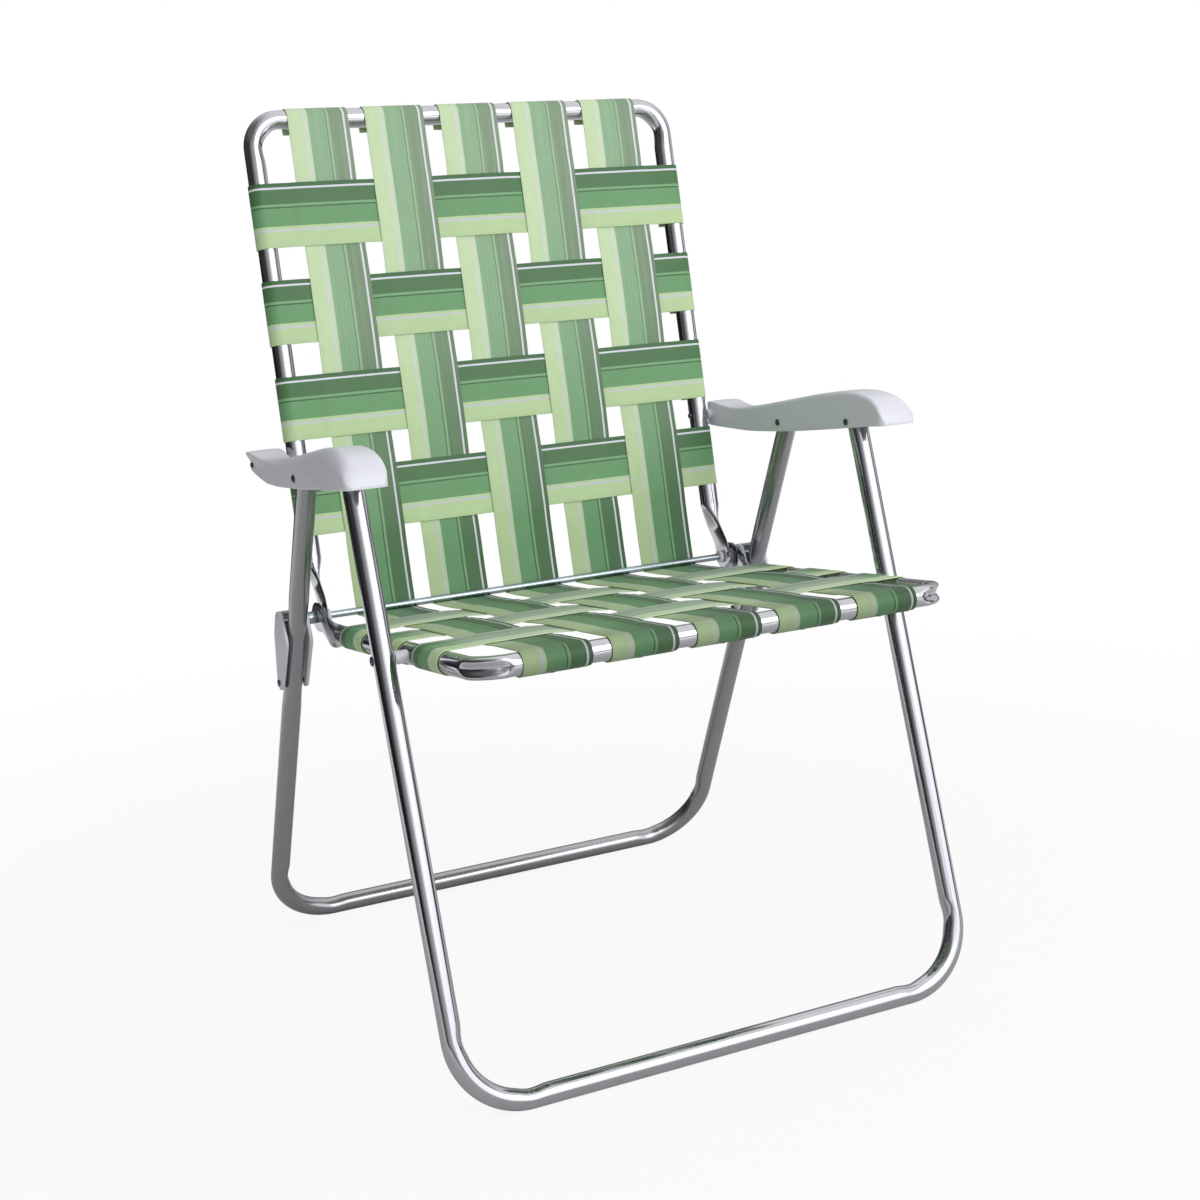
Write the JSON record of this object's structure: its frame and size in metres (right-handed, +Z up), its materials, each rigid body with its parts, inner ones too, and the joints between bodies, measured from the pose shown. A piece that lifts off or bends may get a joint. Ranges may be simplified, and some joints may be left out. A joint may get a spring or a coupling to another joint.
{
  "type": "folding webbed lawn chair",
  "caption": "Folding garden chair of bent aluminium tube with a woven web seat and back, moulded armrests on pivoting legs and lock clips that fold flat.",
  "frame": {"origin": "middle of the bounding box's bottom, on the floor between the legs", "axes": "+Z up, the sitter faces -Y, +X is to the right as seen from the front"},
  "size_m": [0.656, 0.6552, 0.9844],
  "materials": {
    "tube": "polished drawn tube, mirror-like",
    "moulding": "satin white moulding",
    "zinc": "bright zinc plate",
    "webbing": "woven web, light, mid and dark green stripes with white lines"
  },
  "bodies": {
    "back": {"back_frame": "tube", "back_strap_1": "webbing", "back_strap_2": "webbing", "back_strap_3": "webbing", "back_strap_4": "webbing", "back_strap_5": "webbing", "back_row_1": "webbing", "back_row_2": "webbing", "back_row_3": "webbing", "back_row_4": "webbing", "hinge_rod": "zinc", "rod_collar_left": "moulding", "rod_collar_right": "moulding", "rod_washer_left": "moulding", "rod_washer_right": "moulding", "rod_spacer_left": "zinc", "rod_spacer_right": "zinc"},
    "armrests": {"armrest_left": "moulding", "armrest_right": "moulding", "front_pivot_rivet_left": "zinc", "front_pivot_rivet_right": "zinc", "rear_pivot_rivet_left": "zinc", "rear_pivot_rivet_right": "zinc", "back_pivot_screw_left": "zinc", "back_pivot_screw_right": "zinc", "back_pivot_spacer_left": "moulding", "back_pivot_spacer_right": "moulding"},
    "seat": {"seat_frame": "tube", "seat_strap_1": "webbing", "seat_strap_2": "webbing", "seat_strap_3": "webbing", "seat_strap_4": "webbing", "seat_strap_5": "webbing", "seat_row_1": "webbing", "seat_row_2": "webbing", "seat_row_3": "webbing"},
    "lock_clips": {"lock_clip_left": "moulding", "lock_clip_right": "moulding", "clip_rivet_outer_left": "zinc", "clip_rivet_outer_right": "zinc", "clip_rivet_inner_left": "zinc", "clip_rivet_inner_right": "zinc"},
    "front_legs": {"front_leg_frame": "tube", "seat_pivot_screw_left": "zinc", "seat_pivot_screw_right": "zinc", "seat_pivot_spacer_left": "moulding", "seat_pivot_spacer_right": "moulding", "seat_pivot_cap_left": "moulding", "seat_pivot_cap_right": "moulding"},
    "rear_legs": {"rear_leg_frame": "tube"}
  },
  "joints": [
    {"name": "arm_fold", "type": "hinge", "parent": "back", "child": "armrests", "pos_m": [0, 0.18784, 0.596], "axis": [-1, 0, 0], "range_deg": [0, 85]},
    {"name": "seat_fold", "type": "hinge", "parent": "back", "child": "seat", "pos_m": [0, 0.13784, 0.424], "axis": [-1, 0, 0], "range_deg": [0, 85]},
    {"name": "clip_swing", "type": "hinge", "parent": "back", "child": "lock_clips", "pos_m": [0, 0.13784, 0.424], "axis": [-1, 0, 0], "range_deg": [0, 158.38]},
    {"name": "front_leg_fold", "type": "hinge", "parent": "armrests", "child": "front_legs", "pos_m": [0, -0.10916, 0.611], "axis": [1, 0, 0], "range_deg": [0, 85]},
    {"name": "rear_leg_fold", "type": "hinge", "parent": "armrests", "child": "rear_legs", "pos_m": [0, 0.03584, 0.598], "axis": [1, 0, 0], "range_deg": [0, 42.36]}
  ],
  "couplings": [
    {"joint": "seat_fold", "follows": "arm_fold", "ratio": 1},
    {"joint": "clip_swing", "follows": "arm_fold", "ratio": 1.8633},
    {"joint": "front_leg_fold", "follows": "arm_fold", "ratio": 1},
    {"joint": "rear_leg_fold", "follows": "arm_fold", "ratio": 0.4983}
  ]
}
